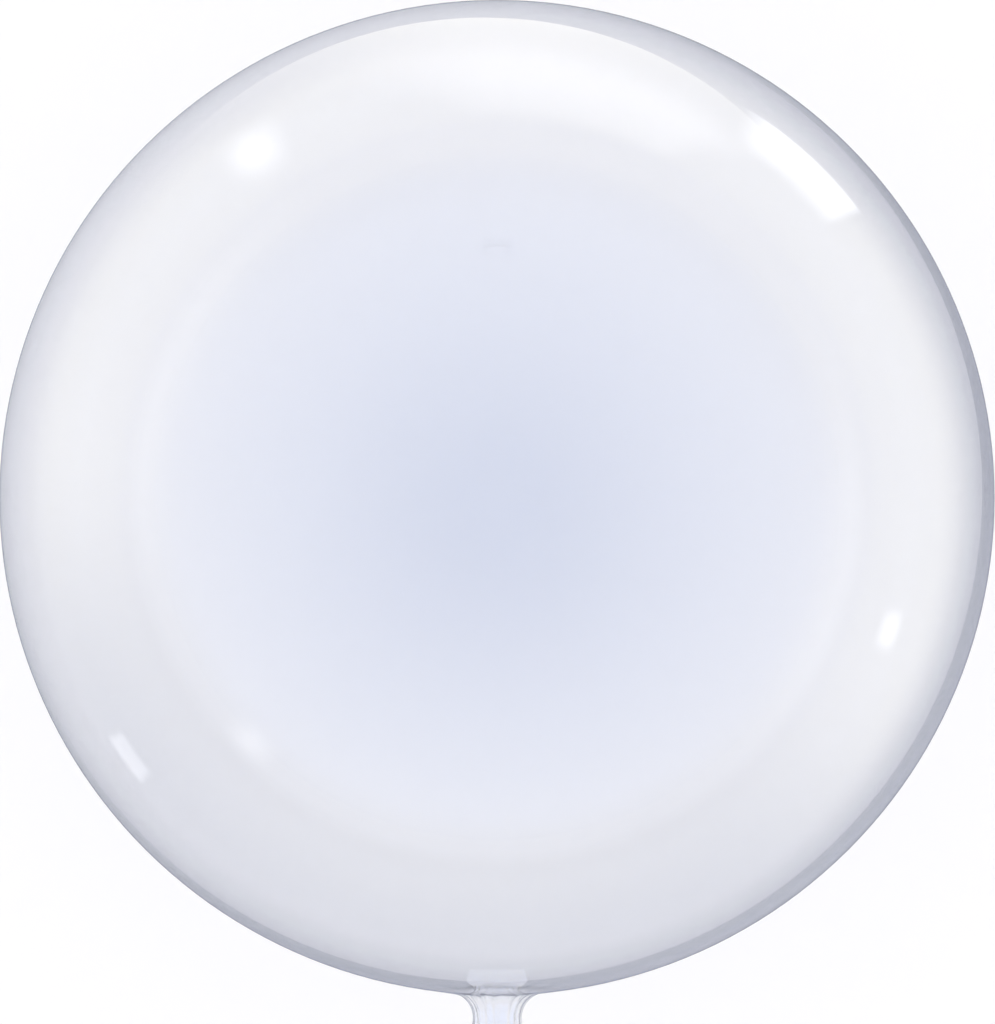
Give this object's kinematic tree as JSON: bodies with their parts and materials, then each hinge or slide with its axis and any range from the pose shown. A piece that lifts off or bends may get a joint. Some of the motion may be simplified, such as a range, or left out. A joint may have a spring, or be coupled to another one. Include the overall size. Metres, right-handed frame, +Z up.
{
  "type": "bubble balloon",
  "caption": "Clear round bubble balloon of thin glossy film, filled and lying on its side, drawn in at a gathered neck that is welded shut and left as a flat tail.",
  "frame": {"origin": "middle of the small flat spot that the balloon lies on", "axes": "+Z up; +Y from the neck towards the far pole of the bubble, so the neck and tail point along -Y; +X to the right as the picture shows it, seen from above"},
  "size_m": [0.6094, 0.6866, 0.6073],
  "materials": {
    "clear_film": "clear, very glossy stretched plastic film with a faint cool tint, crinkled at the neck and pressed in ribs at the weld"
  },
  "bodies": {
    "root": {"bubble_film": "clear_film"}
  },
  "joints": []
}
